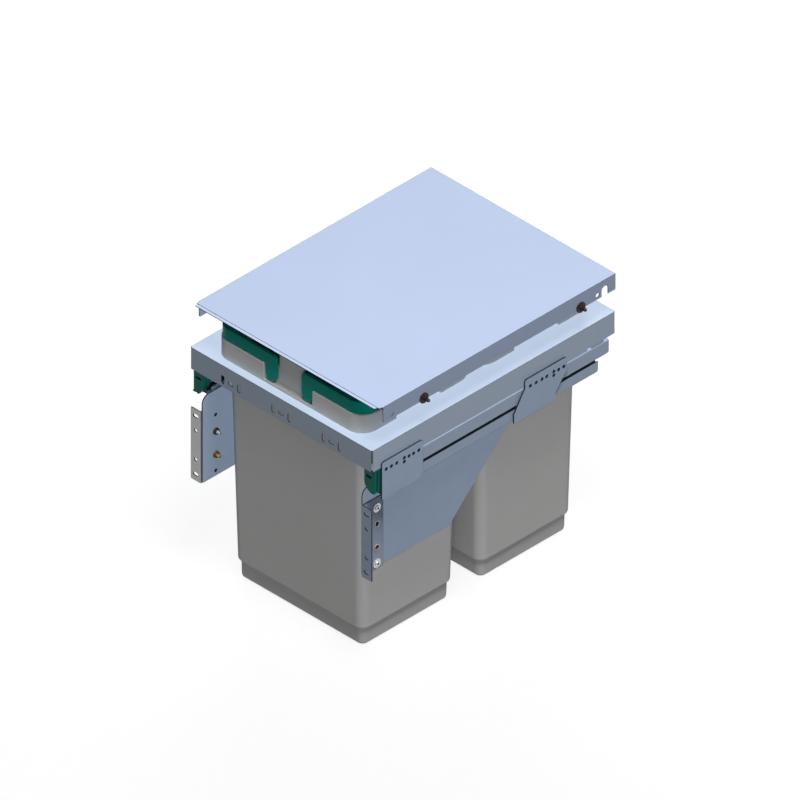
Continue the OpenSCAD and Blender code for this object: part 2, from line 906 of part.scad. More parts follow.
module side_plate_rivets() {
    color(silver)
        both()
            for (y = side_rivet_y) {
                rod_x(side_in - rivet_head_t, side_in, y, side_rivet_z, rivet_head_r,
                    rivet_head_r + rivet_head_rise);
                rod_x(side_in, track_in, y, side_rivet_z, side_rivet_r);
                rod_x(side_out, drawer_rail_in, y, side_rivet_z, side_rivet_r + rivet_shoulder);
            }
}

module front_bracket() {
    color(steel) {
        across_x(side_out, bracket_t)
            difference() {
                round_box(0, bracket_foot, leg_l, bracket_top, sheet_corner_r);
                for (z = screw_z)
                    translate([leg_hole_y, z])
                        circle(bracket_screw_r + screw_hole_clear);
                for (z = [upper_stud_z, lower_stud_z])
                    translate([leg_hole_y, z])
                        circle(stud_leg_r);
            }
        along_y(0, bracket_t)
            difference() {
                round_box(side_out, bracket_foot, side_out + door_flange_w, bracket_top,
                    sheet_corner_r);
                for (s = [-1, 1]) {
                    translate([door_hole_x, -bracket_mid + s * door_hole_pitch / 2])
                        circle(door_hole_r);
                    translate([door_hole_x, -bracket_mid + s * door_slot_pitch / 2])
                        slot(door_slot_l, 2 * door_hole_r);
                }
            }
    }
}

// Round washers under the heads of the bracket screws
module bracket_washers() {
    color(silver)
        both()
            for (z = screw_z)
                difference() {
                    rod_x(leg_out, leg_out + washer_t, leg_hole_y, z, washer_r);
                    rod_x(leg_out - cut, leg_out + washer_t + cut, leg_hole_y, z,
                        bracket_screw_r);
                }
}

// Low-headed socket screws through bracket and side plate
module bracket_screws() {
    head = leg_out + washer_t;
    color(dark_steel)
        both()
            for (z = screw_z)
                difference() {
                    union() {
                        rod_x(side_in + screw_end_in, head, leg_hole_y, z, bracket_screw_r);
                        rod_x(head, head + screw_head_t, leg_hole_y, z, screw_head_r[0],
                            screw_head_r[1]);
                    }
                    translate([head + screw_socket_floor, leg_hole_y, z])
                        rotate([0, 90, 0])
                            cylinder(h = screw_head_t + cut, r = screw_socket_r, $fn = 6);
                }
}

// Adjusting studs with a socket outside and a conical tip inside the side plate
module adjusting_studs(z) {
    both()
        difference() {
            union() {
                rod_x(side_out, leg_out + stud_past, leg_hole_y, z, stud_leg_r - stud_fit);
                rod_x(side_in, side_out, leg_hole_y, z, stud_r - stud_fit);
                rod_x(side_in - stud_base_l, side_in, leg_hole_y, z, stud_base_r[0],
                    stud_base_r[1]);
                rod_x(side_in - stud_base_l - stud_tip_l, side_in - stud_base_l, leg_hole_y, z,
                    stud_tip_r[0], stud_tip_r[1]);
            }
            translate([side_out + stud_socket_in, leg_hole_y, z])
                rotate([0, 90, 0])
                    cylinder(h = bracket_t + stud_past + cut, r = stud_socket_r);
        }
}

// Lid

lid_hole_r = 5;
lid_small_r = 3.2;
lid_small_up = 7.3;
lid_small_front = 23.5;
lid_small_rear = 36;
lid_flange_in = 5.9;
lid_corner_r = [3, 1];
lid_relief = 5;
lid_relief_w = 3;
hook_w = 12.3;
hook_h = 10;
hook_rear = 21.5;
lid_web = 3;
// The rear small hole and the hook notch keep a web of sheet behind the rear screws
lid_screw_rear = lid_screw_front + lid_screw_pitch;
small_rear_y = max(lid_rear - lid_small_rear, lid_screw_rear + lid_hole_r + lid_web + lid_small_r);
hook_y = max(lid_rear - hook_rear, small_rear_y + lid_small_r + lid_web + hook_w / 2);

module lid_flange() {
    top = lid_under + lid_t;
    across_x(lid_half - lid_t, lid_t)
        difference() {
            polygon(outline([
                [lid_front + lid_flange_in, lid_flange_foot, lid_corner_r[0]],
                [lid_rear, lid_flange_foot, lid_corner_r[1]],
                [lid_rear, top, 0],
                [lid_front + lid_flange_in, top, 0]
            ]));
            for (y = [lid_screw_front, lid_screw_rear])
                translate([y, lid_screw_z])
                    circle(lid_hole_r);
            for (y = [lid_front + lid_small_front, small_rear_y])
                translate([y, lid_flange_foot + lid_small_up])
                    circle(lid_small_r);
            // Hook notch, open below
            translate([hook_y, lid_flange_foot + hook_h])
                circle(hook_w / 2);
            translate([hook_y - hook_w / 2, lid_flange_foot - cut])
                square([hook_w, hook_h + cut]);
        }
}

module lid_panel() {
    color(pale_steel) {
        translate([0, 0, lid_under])
            linear_extrude(lid_t)
                difference() {
                    translate([-lid_half, lid_front])
                        square([2 * lid_half, lid_rear - lid_front]);
                    for (s = [-1, 1])
                        translate([s * lid_half, lid_front])
                            square([lid_relief_w, 2 * lid_relief], center = true);
                }
        across_x(lid_relief - lid_half, 2 * (lid_half - lid_relief))
            polygon([
                [lid_front, lid_under],
                [lid_front, lid_under + lid_t],
                [lid_front - lip_l, lid_under + lid_t + lip_rise],
                [lid_front - lip_l, lid_under + lip_rise]
            ]);
        both()
            lid_flange();
    }
}

// Ring bushes in the lid's flanges, on the cabinet's side
lid_bush_t = 2;
lid_bush_r = 8.5;
lid_bush_end = 1.6;
lid_bush_fit = 0.05;
lid_bush_clear = 0.3;
lid_neck_over = 0.3;
lid_head_in = lid_half - lid_t - lid_bush_end;
lid_head_t = 3;
lid_head_r = [4.6, 6];
lid_socket_r = 2.4;
lid_socket_depth = 2.4;
lid_tip_l = 3;
lid_tip_r = 0.8;

module lid_bushes() {
    color([0.30, 0.18, 0.10])
        both()
            for (y = [lid_screw_front, lid_screw_rear])
                difference() {
                    union() {
                        rod_x(lid_half, lid_half + lid_bush_t, y, lid_screw_z, lid_bush_r);
                        rod_x(lid_head_in, lid_half, y, lid_screw_z, lid_hole_r - lid_bush_fit);
                    }
                    rod_x(lid_head_in - cut, lid_half + lid_bush_t + cut, y, lid_screw_z,
                        lid_screw_r + lid_neck_over + lid_bush_clear);
                }
}

module lid_screws() {
    reach = cabinet_w / 2 + lid_screw_reach;
    color(black)
        both()
            for (y = [lid_screw_front, lid_screw_rear])
                difference() {
                    union() {
                        // A thicker neck fills the bush
                        rod_x(lid_head_in, lid_half + lid_bush_t, y, lid_screw_z,
                            lid_screw_r + lid_neck_over);
                        rod_x(lid_half + lid_bush_t, reach - lid_tip_l, y, lid_screw_z, lid_screw_r);
                        rod_x(reach - lid_tip_l, reach, y, lid_screw_z, lid_screw_r, lid_tip_r);
                        rod_x(lid_head_in - lid_head_t, lid_head_in, y, lid_screw_z,
                            lid_head_r[0], lid_head_r[1]);
                    }
                    translate([lid_head_in - lid_head_t - cut, y, lid_screw_z])
                        rotate([0, 90, 0])
                            cylinder(h = lid_socket_depth + cut, r = lid_socket_r, $fn = 6);
                }
}

// Bins and handles

// One ring of points round a bin: z is its height above the frame's top, inset shrinks it
corner_steps = 8;
function ring(z, inset) =
    let (
        gap = inset + (z < 0 ? -z * bin_taper : 0),
        r = max(bin_r - inset, 2),
        half_w = bin_w / 2 - gap - r,
        half_d = bin_d / 2 - gap - r
    )
    [
        for (q = [0 : 3], i = [0 : corner_steps])
            let (a = 90 * (q + i / corner_steps))
            [
                (q == 0 || q == 3 ? half_w : -half_w) + r * cos(a),
                (q < 2 ? half_d : -half_d) + r * sin(a),
                frame_top + z
            ]
    ];

// The rings of a rounded lower edge, from below upwards
function edge_rings(z, inset, edge) = [
    for (a = [90 : -30 : 0]) ring(z + edge * (1 - sin(a)), inset + edge * (1 - cos(a)))
];

// A solid through rings of points, from the lowest ring to the highest
module through(rings) {
    n = len(rings[0]);
    last = len(rings) - 1;
    polyhedron(
        points = [for (r = rings) each r],
        faces = [
            [for (i = [0 : n - 1]) i],
            [for (i = [n - 1 : -1 : 0]) last * n + i],
            for (k = [0 : last - 1], i = [0 : n - 1])
                let (next = (i + 1) % n)
                [k * n + i, (k + 1) * n + i, (k + 1) * n + next, k * n + next]
        ]
    );
}

bin_step = foot_h - bin_drop;

// A bin's form, with its foot and step, drawn in by skin; top is its height above the frame
module bin_form(skin, top, foot_r, step_r) {
    through([
        each edge_rings(skin - bin_drop, foot_in + skin, foot_r),
        ring(bin_step + skin, foot_in + skin),
        each edge_rings(bin_step + skin, skin, step_r),
        ring(top, skin)
    ]);
}

recess_side = 1.75;
recess_half = pivot_x + arm_w / 2 + recess_side;
collar_w = bin_w + 2 * collar_over;
collar_d = bin_d + 2 * collar_over;
pin_end = 2;
pin_l = arm_t - pin_end;
// Radii of the rounded lower edges, outside and inside
foot_edge = [5, 3];
step_edge = [3.5, 2];
handle_gap = 0.3;
brow_side = 0.7;
brow_half = pivot_x - arm_w / 2 - brow_side;
brow_t = 4;
brow_r = 4;
handle_corner_r = 8;

// The collar that lies on the frame, hollow under its rim
module collar() {
    difference() {
        translate([0, 0, frame_top])
            linear_extrude(collar_h)
                round_rect(collar_w, collar_d, bin_r + collar_over);
        // The rim is left solid behind the recess for the arms
        translate([0, 0, frame_top - cut])
            linear_extrude(collar_h - bin_wall + cut)
                difference() {
                    round_rect(collar_w - 2 * bin_wall, collar_d - 2 * bin_wall,
                        bin_r + collar_over - bin_wall);
                    square([2 * recess_half + 2 * bin_wall, collar_d + cut], center = true);
                    for (s = [-1, 1])
                        translate([s * collar_w / 2, 0])
                            square([2 * (grip_d + bin_wall), grip_l + 2 * bin_wall],
                                center = true);
                }
        // Recess for the arms
        for (s = [-1, 1])
            translate([-recess_half, s > 0 ? collar_d / 2 - recess_d : -collar_d / 2 - cut,
                    frame_top + ledge_h])
                cube([2 * recess_half, recess_d + cut, collar_h]);
        // Finger recess under the handles' bars
        for (s = [-1, 1])
            translate([s * collar_w / 2, 0, frame_top + collar_h / 2])
                cube([2 * grip_d, grip_l, collar_h + 2 * cut], center = true);
    }
    // Brow between the arms, as high as the lid allows
    for (s = [-1, 1])
        along_y(s > 0 ? collar_d / 2 - recess_d - brow_t : recess_d - collar_d / 2, brow_t)
            round_box(-brow_half, frame_top + ledge_h, brow_half, frame_top + brow_h, brow_r);
}

module bin() {
    color(bin_grey)
        difference() {
            union() {
                bin_form(0, collar_h - bin_wall / 2, foot_edge[0], step_edge[0]);
                collar();
            }
            bin_form(bin_wall, collar_h + cut, foot_edge[1], step_edge[1]);
        }
    // Pivot pins
    color(bin_grey)
        for (s = [-1, 1], x = [-pivot_x, pivot_x])
            translate([x, s * (collar_d / 2 - recess_d - cut), frame_top + pivot_z])
                rotate([-s * 90, 0, 0])
                    cylinder(h = pin_l + cut, r = pivot_r);
}

// Right-hand handle of a bin that stands round the origin
module handle() {
    outer_w = collar_w - 2 * handle_in;
    outer_d = collar_d - 2 * handle_in;
    outer_r = bin_r + collar_over - handle_in;
    arm_face = outer_d / 2;
    bar_foot = collar_top + handle_gap;
    full_from = pivot_x + brow_h - pivot_z + handle_gap;
    bar_top = bar_foot + bar_h;
    color(grip_green)
        difference() {
            union() {
                translate([0, 0, bar_foot])
                    linear_extrude(bar_h)
                        intersection() {
                            difference() {
                                round_rect(outer_w, outer_d, outer_r);
                                round_rect(outer_w - 2 * bar_t, outer_d - 2 * bar_t, outer_r - bar_t);
                                // Near the brow only as thick as the arm, so that it can turn up
                                square([2 * full_from, 2 * (arm_face - arm_t)], center = true);
                            }
                            translate([pivot_x - arm_w / 2, -outer_d])
                                square([outer_w, 2 * outer_d]);
                        }
                for (s = [-1, 1])
                    along_y(s > 0 ? arm_face - arm_t : -arm_face, arm_t) {
                        translate([pivot_x, frame_top + pivot_z])
                            circle(arm_w / 2);
                        translate([pivot_x - arm_w / 2, frame_top + pivot_z])
                            square([arm_w, bar_foot + bar_h / 2 - frame_top - pivot_z]);
                    }
            }
            for (s = [-1, 1])
                translate([pivot_x, s * (arm_face - arm_t - cut), frame_top + pivot_z])
                    rotate([-s * 90, 0, 0])
                        cylinder(h = pin_l + cut, r = pivot_r + pivot_clear);
            // Rounded upper corner over the arms
            along_y(-outer_d, 2 * outer_d)
                translate([pivot_x - arm_w / 2, bar_top])
                    difference() {
                        translate([-cut, -handle_corner_r])
                            square(handle_corner_r + cut);
                        translate([handle_corner_r, -handle_corner_r])
                            circle(handle_corner_r);
                    }
        }
}

module at_bin(b) {
    translate([0, bin_mid + b * bin_pitch, 0])
        children();
}

// The pieces

left() front_mounting_plate();  // front_mounting_plate_left
front_mounting_plate();  // front_mounting_plate_right
left() rear_mounting_plate();  // rear_mounting_plate_left
rear_mounting_plate();  // rear_mounting_plate_right
mounting_plate_rivets();
left() cabinet_rail();  // cabinet_rail_left
cabinet_rail();  // cabinet_rail_right
closing_buffers();
lid_panel();
lid_bushes();
lid_screws();
left() ball_cage(lower_cage_y, lower_ball_z, 1);  // lower_ball_cage_left
ball_cage(lower_cage_y, lower_ball_z, 1);  // lower_ball_cage_right
left() ball_rows(lower_cage_y, lower_ball_z);  // lower_balls_left
ball_rows(lower_cage_y, lower_ball_z);  // lower_balls_right
left() middle_rail();  // middle_rail_left
middle_rail();  // middle_rail_right
left() ball_cage(upper_cage_y, upper_ball_z, -1);  // upper_ball_cage_left
ball_cage(upper_cage_y, upper_ball_z, -1);  // upper_ball_cage_right
left() ball_rows(upper_cage_y, upper_ball_z);  // upper_balls_left
ball_rows(upper_cage_y, upper_ball_z);  // upper_balls_right
left() drawer_rail();  // drawer_rail_left
drawer_rail();  // drawer_rail_right
top_frame();
left() rear_seat();  // rear_seat_left
rear_seat();  // rear_seat_right
left() front_coupling();  // front_coupling_left
front_coupling();  // front_coupling_right
lever_pins();
left() release_lever();  // release_lever_left
release_lever();  // release_lever_right
left() side_plate();  // side_plate_left
side_plate();  // side_plate_right
side_plate_rivets();
left() front_bracket();  // front_bracket_left
front_bracket();  // front_bracket_right
bracket_screws();
bracket_washers();
color(silver) adjusting_studs(upper_stud_z);  // upper_adjusting_studs
color(brass_colour) adjusting_studs(lower_stud_z);  // lower_adjusting_studs
at_bin(0) bin();  // front_bin
at_bin(1) bin();  // rear_bin
at_bin(0) left() handle();  // front_bin_handle_left
at_bin(0) handle();  // front_bin_handle_right
at_bin(1) left() handle();  // rear_bin_handle_left
at_bin(1) handle();  // rear_bin_handle_right
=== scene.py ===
# %% [markdown]
# # Pull out bin frame
# The object is a sheet-steel frame with two lift-out waste bins, which slides out of a kitchen cabinet on
# ball-bearing runners. A fixed lid stays in the cabinet above the bins. The picture that it follows is a
# shaded drawing without perspective, so the scene is lit and framed like a technical catalogue picture.
#
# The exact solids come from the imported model. This script loads them as a fixed frame, gives each piece
# the edges and the finish of the real thing, and leaves sizes and places as they are.

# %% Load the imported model
import json
import math

import bmesh
import bpy
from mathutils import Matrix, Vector

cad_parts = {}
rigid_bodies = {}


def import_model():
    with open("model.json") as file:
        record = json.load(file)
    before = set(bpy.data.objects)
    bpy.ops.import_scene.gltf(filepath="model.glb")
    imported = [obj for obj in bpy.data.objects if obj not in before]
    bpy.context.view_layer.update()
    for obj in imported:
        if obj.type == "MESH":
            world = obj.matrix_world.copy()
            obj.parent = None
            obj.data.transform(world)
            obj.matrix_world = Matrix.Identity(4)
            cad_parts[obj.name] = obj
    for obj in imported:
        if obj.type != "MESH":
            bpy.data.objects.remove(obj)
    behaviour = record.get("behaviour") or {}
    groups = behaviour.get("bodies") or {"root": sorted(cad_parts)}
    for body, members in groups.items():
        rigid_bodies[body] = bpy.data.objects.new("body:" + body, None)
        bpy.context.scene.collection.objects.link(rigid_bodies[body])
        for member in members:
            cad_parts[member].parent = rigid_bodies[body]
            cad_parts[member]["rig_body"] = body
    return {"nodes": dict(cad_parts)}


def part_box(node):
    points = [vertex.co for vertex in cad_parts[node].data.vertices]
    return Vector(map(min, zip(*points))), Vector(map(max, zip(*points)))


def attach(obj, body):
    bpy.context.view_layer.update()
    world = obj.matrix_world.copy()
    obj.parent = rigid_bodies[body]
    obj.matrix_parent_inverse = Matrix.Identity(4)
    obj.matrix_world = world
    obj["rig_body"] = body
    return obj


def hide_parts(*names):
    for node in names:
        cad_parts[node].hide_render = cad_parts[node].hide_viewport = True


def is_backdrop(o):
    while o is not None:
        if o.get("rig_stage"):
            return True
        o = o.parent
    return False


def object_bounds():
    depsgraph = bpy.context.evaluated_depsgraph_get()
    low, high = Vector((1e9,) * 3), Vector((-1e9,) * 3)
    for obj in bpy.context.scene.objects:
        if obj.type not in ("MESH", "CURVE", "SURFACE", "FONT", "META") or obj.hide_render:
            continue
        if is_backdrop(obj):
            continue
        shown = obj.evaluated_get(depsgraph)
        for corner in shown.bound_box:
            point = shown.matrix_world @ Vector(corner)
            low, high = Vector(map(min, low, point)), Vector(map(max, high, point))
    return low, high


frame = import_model()
nodes = frame["nodes"]
cad_low, cad_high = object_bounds()
MM = 0.001
print("size in mm:", [round((b - a) / MM, 1) for a, b in zip(cad_low, cad_high)])

# %% [markdown]
# ## Camera
# The drawing is isometric: it looks down on the front right corner along a cube's diagonal, and parallel
# lines stay parallel. An orthographic camera does the same. Its scale is the width of the picture in
# metres, which follows from a measure in the drawing: 0.711 pixels a millimetre in a picture 800 wide.

# %% Isometric camera
picture_width = 800
pixels_per_mm = 0.711
looked_at = Vector((0, 236.5, -78.7)) * MM
toward_camera = Vector((1, -1, 1)).normalized()
camera_distance = 4

camera_lens = bpy.data.cameras.new("isometric_camera")
camera_lens.type = "ORTHO"
camera_lens.ortho_scale = picture_width / pixels_per_mm * MM
camera_lens.clip_start = 0.1
camera_lens.clip_end = 30
camera = bpy.data.objects.new("isometric_camera", camera_lens)
camera.location = looked_at + toward_camera * camera_distance
camera.rotation_mode = "QUATERNION"
camera.rotation_quaternion = toward_camera.to_track_quat("Z", "Y")
scene = bpy.context.scene
scene.collection.objects.link(camera)
scene.camera = camera
scene.view_settings.view_transform = "Standard"
print("picture width in metres:", round(camera_lens.ortho_scale, 4))

# %% [markdown]
# ## Helpers for materials
# A colour is easiest to write as it looks on a screen, as an sRGB hex value. Shaders calculate with linear
# light, so one function turns the first into the second. The next one adds a node to a material: values go
# to sockets or settings by name, and links say which output feeds which socket. The third starts a material.

# %% Colour and node helpers


def linear(hex_colour):
    """An sRGB hex colour as the linear red, green, blue and alpha that shaders use."""
    channels = [int(hex_colour[i : i + 2], 16) / 255 for i in (1, 3, 5)]
    return [c / 12.92 if c <= 0.04045 else ((c + 0.055) / 1.055) ** 2.4 for c in channels] + [1.0]


def add(tree, kind, values=None, links=None):
    """Adds a node. A key of values or links is a socket's name or number, or a setting's name."""
    node = tree.nodes.new(kind)
    for key, value in (values or {}).items():
        if isinstance(key, str) and key not in node.inputs:
            setattr(node, key, value)
        else:
            node.inputs[key].default_value = value
    for key, source in (links or {}).items():
        tree.links.new(source, node.inputs[key])
    return node


def empty_material(name):
    """A new material with no nodes in it yet, and its tree."""
    material = bpy.data.materials.new(name)
    material.use_nodes = True
    material.node_tree.nodes.clear()
    return material, material.node_tree


print("white in linear light:", linear("#ffffff")[:3])

# %% [markdown]
# ## Floor and surround
# A catalogue picture has a white ground. The floor is plain and pale, and what the camera, a reflection or
# a clear piece sees of it is a white that the object's soft shadow darkens a little. Light that bounces
# from it onto the object comes from its duller second shader, so that the sides keep their tone. The
# surround is white in the same way, and gives next to no light.

# %% Floor


def seen_directly(tree):
    """The output that is 1 for what the camera, a reflection or a clear piece sees."""
    rays = add(tree, "ShaderNodeLightPath").outputs
    either = {0: rays["Is Camera Ray"], 1: rays["Is Glossy Ray"]}
    either = add(tree, "ShaderNodeMath", {"operation": "MAXIMUM"}, either)
    any_of_three = {0: either.outputs[0], 1: rays["Is Transmission Ray"]}
    return add(tree, "ShaderNodeMath", {"operation": "MAXIMUM"}, any_of_three).outputs[0]


floor_material, tree = empty_material("pale_studio_floor")
seen = seen_directly(tree)
place = add(tree, "ShaderNodeTexCoord").outputs["Object"]
# Clouds of about 25 mm in the paper, too faint to see as a pattern
grain = add(tree, "ShaderNodeTexNoise", {"Scale": 40.0, "Detail": 2.0}, {"Vector": place})
two_greys = {"data_type": "RGBA", 6: linear("#c2c2c2"), 7: linear("#c8c8c8")}
paper = add(tree, "ShaderNodeMix", two_greys, {0: grain.outputs["Fac"]})
shaded = add(tree, "ShaderNodeBsdfDiffuse", None, {"Color": paper.outputs[2]})
glow = add(tree, "ShaderNodeEmission", {"Color": linear("#ffffff"), "Strength": 0.86})
white_ground = add(tree, "ShaderNodeAddShader", None, {0: shaded.outputs[0], 1: glow.outputs[0]})
dull_ground = add(tree, "ShaderNodeBsdfDiffuse", {"Color": linear("#cccccc")})
both_grounds = {0: seen, 1: dull_ground.outputs[0], 2: white_ground.outputs[0]}
ground = add(tree, "ShaderNodeMixShader", None, both_grounds)
add(tree, "ShaderNodeOutputMaterial", None, {"Surface": ground.outputs[0]})

floor_half_width = 12.0
floor_gap = 0.2 * MM
floor_mesh = bmesh.new()
bmesh.ops.create_grid(floor_mesh, x_segments=1, y_segments=1, size=floor_half_width)
bmesh.ops.translate(floor_mesh, vec=(0, 0, cad_low.z - floor_gap), verts=floor_mesh.verts)
floor_data = bpy.data.meshes.new("floor")
floor_mesh.to_mesh(floor_data)
floor_mesh.free()
floor_data.materials.append(floor_material)
floor = bpy.data.objects.new("floor", floor_data)
scene.collection.objects.link(floor)
floor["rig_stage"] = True
print("floor height in mm:", round(floor_data.vertices[0].co.z / MM, 1))

# %% White surround
world = bpy.data.worlds.new("white_surround")
scene.world = world
world.use_nodes = True
tree = world.node_tree
tree.nodes.clear()
seen = seen_directly(tree)
room = add(tree, "ShaderNodeBackground", {"Color": linear("#ffffff"), "Strength": 0.03})
white = add(tree, "ShaderNodeBackground", {"Color": linear("#ffffff"), "Strength": 1.0})
both = add(tree, "ShaderNodeMixShader", None, {0: seen, 1: room.outputs[0], 2: white.outputs[0]})
add(tree, "ShaderNodeOutputWorld", None, {"Surface": both.outputs[0]})
print("nodes in the surround:", len(tree.nodes))

# %% [markdown]
# ## Lamps
# The drawing gives a top face the full colour, a right-hand face 0.36 of it and a front face 0.21. Soft
# lamps in the direction (0.32, -0.17, 1) give just that, because a face receives light by the cosine of its
# angle to the lamp, and a little comes back from the floor. The drawing has no large shadows: the frame
# under the lid is as bright as the lid. So one sixth of the light is a softbox that casts the shadows that
# set the object on its floor, and the rest comes from ceiling lamps that most pieces don't block. There is
# one of these for each of three groups of pieces, and a later cell gives each lamp its list of lit pieces
# and its list of pieces in its way. Softbox and ceiling lamps stand one centimetre behind each other. With
# all four in one place the lid can come out darker at random, as if a ray found only one of them.
#
# The bins stand under a lid and a frame, so they get a low softbox from the front right as well. A weak lamp
# behind keeps the far side readable.

# %% Lamps


def soft_lamp(name, direction, distance, size, watts):
    """A square lamp of that size that shines on the middle of the object from one direction."""
    lamp = bpy.data.lights.new(name, "AREA")
    lamp.shape = "SQUARE"
    lamp.size = size
    lamp.energy = watts
    holder = bpy.data.objects.new(name, lamp)
    toward = Vector(direction).normalized()
    holder.location = looked_at + toward * distance
    holder.rotation_mode = "QUATERNION"
    holder.rotation_quaternion = toward.to_track_quat("Z", "Y")
    scene.collection.objects.link(holder)
    print(name, "at", [round(v, 2) for v in holder.location], "with", watts, "W")
    return holder


toward_key = (0.32, -0.17, 1.0)
toward_bins = (0.76, -0.65, 0.2)
toward_rear = (-1.0, 1.1, 0.5)
far, wide = 4.5, 1.5
one_behind = 0.01
ceiling = {}
for place, group in enumerate(("sheets", "bins", "fittings"), 1):
    behind = far + place * one_behind
    ceiling[group] = soft_lamp("white_ceiling_on_" + group, toward_key, behind, wide, 176.0)
soft_lamp("key_softbox", toward_key, far, wide, 37.0)
soft_lamp("rear_fill", toward_rear, 3.0, 1.6, 22.0)
low_softbox = soft_lamp("low_softbox_on_bins", toward_bins, far, wide, 46.0)

# %% [markdown]
# ## Finishes
# Every finish starts from what the real surface is and how it was made. The patterns are worked out from
# real sizes: a pattern that repeats every p metres has a scale of about 1/p, because Object coordinates
# are metres. Each finish needs two patterns. A slow one shifts the colour, and a fine one, the grain, sets
# both the roughness and a small relief. One function turns these into a shader, and the functions after it
# make the patterns of one trade each: coating, plating, moulding and turning.

# %% Shader of a finish


def surface(tree, hex_colour, darkest, patches, grain, gloss, relief, settings):
    """Ends a material with its shader, from two outputs that run between 0 and 1.

    Patches darken the colour down to that share of it. The grain sets the roughness between the two
    values of gloss, and a bump with the strength and the height in millimetres of relief.
    """
    shade = [c * darkest for c in linear(hex_colour)[:3]] + [1.0]
    two_tones = {"data_type": "RGBA", 6: shade, 7: linear(hex_colour)}
    tone = add(tree, "ShaderNodeMix", two_tones, {0: patches})
    rough = add(tree, "ShaderNodeMapRange", {"To Min": gloss[0], "To Max": gloss[1]}, {"Value": grain})
    strength, height = relief
    bump = add(tree, "ShaderNodeBump", {"Strength": strength, "Distance": height * MM}, {"Height": grain})
    sources = {"Base Color": tone.outputs[2], "Roughness": rough.outputs[0], "Normal": bump.outputs[0]}
    shader = add(tree, "ShaderNodeBsdfPrincipled", settings, sources)
    add(tree, "ShaderNodeOutputMaterial", None, {"Surface": shader.outputs[0]})


# %% [markdown]
# Lid and frame are powder-coated sheet steel. Melted powder leaves a satin skin with a faint orange peel,
# so the highlights on it are soft and slightly uneven. All the metal sheets share a pale blue tone, as in
# the drawing.

# %% Powder coat


def powder_coat(name, hex_colour):
    """Powder-coated sheet steel with its orange peel."""
    material, tree = empty_material(name)
    place = add(tree, "ShaderNodeTexCoord").outputs["Object"]
    # Orange peel is about 2 mm from crest to crest
    peel = {"Scale": 500.0, "Detail": 1.5, "Roughness": 0.4}
    peel = add(tree, "ShaderNodeTexNoise", peel, {"Vector": place}).outputs["Fac"]
    # Thickness of the coat drifts over some 120 mm, which shifts its tone by a shade
    drift = add(tree, "ShaderNodeTexNoise", {"Scale": 8.0, "Detail": 2.0}, {"Vector": place}).outputs["Fac"]
    settings = {"IOR": 1.5, "Specular IOR Level": 0.16}
    surface(tree, hex_colour, 0.95, drift, peel, (0.42, 0.52), (0.12, 0.05), settings)
    return material


lid_coat = powder_coat("pale_blue_powder_coat", "#b5c4e1")
frame_coat = powder_coat("pale_grey_blue_powder_coat", "#c3d2e7")
print("coats:", lid_coat.name, frame_coat.name)

# %% [markdown]
# Zinc-plated strip is rolled before it is plated. The rolls leave faint streaks along the strip, and the
# passivated zinc is a bluish grey, half way between paint and mirror. The streaks are noise that a Mapping
# node stretches along one axis, with 0.8 mm between streaks and 60 mm along them. The middle rails are
# dark grey, a painted shade for the slot between the runner strips in which they lie. A sheared edge is
# dark, and its dark tone is also painted as shade on the mouths of the frame's slots and on the drawer
# rails' tops.

# %% Zinc-plated steel


def zinc_plate(name, hex_colour, metal, rough, along):
    """Rolled and zinc-plated steel with its streaks along one axis."""
    material, tree = empty_material(name)
    place = add(tree, "ShaderNodeTexCoord").outputs["Object"]
    stretch = [1250.0, 1250.0, 1250.0]
    stretch["XYZ".index(along)] = 16.0
    rolled = add(tree, "ShaderNodeMapping", {"Scale": stretch}, {"Vector": place}).outputs[0]
    streaks = {"Scale": 1.0, "Detail": 3.0}
    streaks = add(tree, "ShaderNodeTexNoise", streaks, {"Vector": rolled}).outputs["Fac"]
    # The bath leaves cloudy patches of some 25 mm
    clouds = add(tree, "ShaderNodeTexNoise", {"Scale": 40.0, "Detail": 3.0}, {"Vector": place}).outputs["Fac"]
    settings = {"Metallic": metal, "Specular IOR Level": 0.2}
    surface(tree, hex_colour, 0.88, clouds, streaks, (rough - 0.08, rough + 0.1), (0.15, 0.02), settings)
    return material


plate_zinc = zinc_plate("zinc_plated_plate", "#bdd1ec", 0.03, 0.5, "Y")
rail_zinc = zinc_plate("zinc_plated_rail", "#b7c9e2", 0.06, 0.42, "Y")
blue_zinc = zinc_plate("blue_passivated_bracket", "#b2c1da", 0.05, 0.42, "Z")
bare_zinc = zinc_plate("bare_zinc_bracket", "#c3c4c4", 0.42, 0.4, "Z")
bright_zinc = zinc_plate("bright_zinc_fittings", "#e2e3e6", 0.6, 0.3, "Y")
# The sheared edges' dark also serves as painted shade on the frame's slot mouths and the drawer rails' tops.
cut_steel_and_painted_shade = zinc_plate("sheared_steel_edge_and_painted_shade", "#2b323a", 0.1, 0.55, "Y")
# The middle rails' dark grey is painted shade for the slot between the runner strips.
slot_shade_dark_zinc = zinc_plate("dark_rail_painted_slot_shade", "#39424d", 0.2, 0.45, "Y")
zinc_finishes = (plate_zinc, rail_zinc, blue_zinc, bare_zinc, bright_zinc, cut_steel_and_painted_shade, slot_shade_dark_zinc)
print("zinc finishes:", [finish.name for finish in zinc_finishes])

# %% [markdown]
# The bins, handles, couplings and small black pieces are moulded plastic. The steel mould is spark
# eroded, which gives the plastic a fine even grain that kills hard reflections. The real grain is about
# 0.1 mm, too fine for this picture, so it is drawn at 0.7 mm and shallow. The melt's flow leaves slow
# changes of tone, some 70 mm long.

# %% Moulded plastic


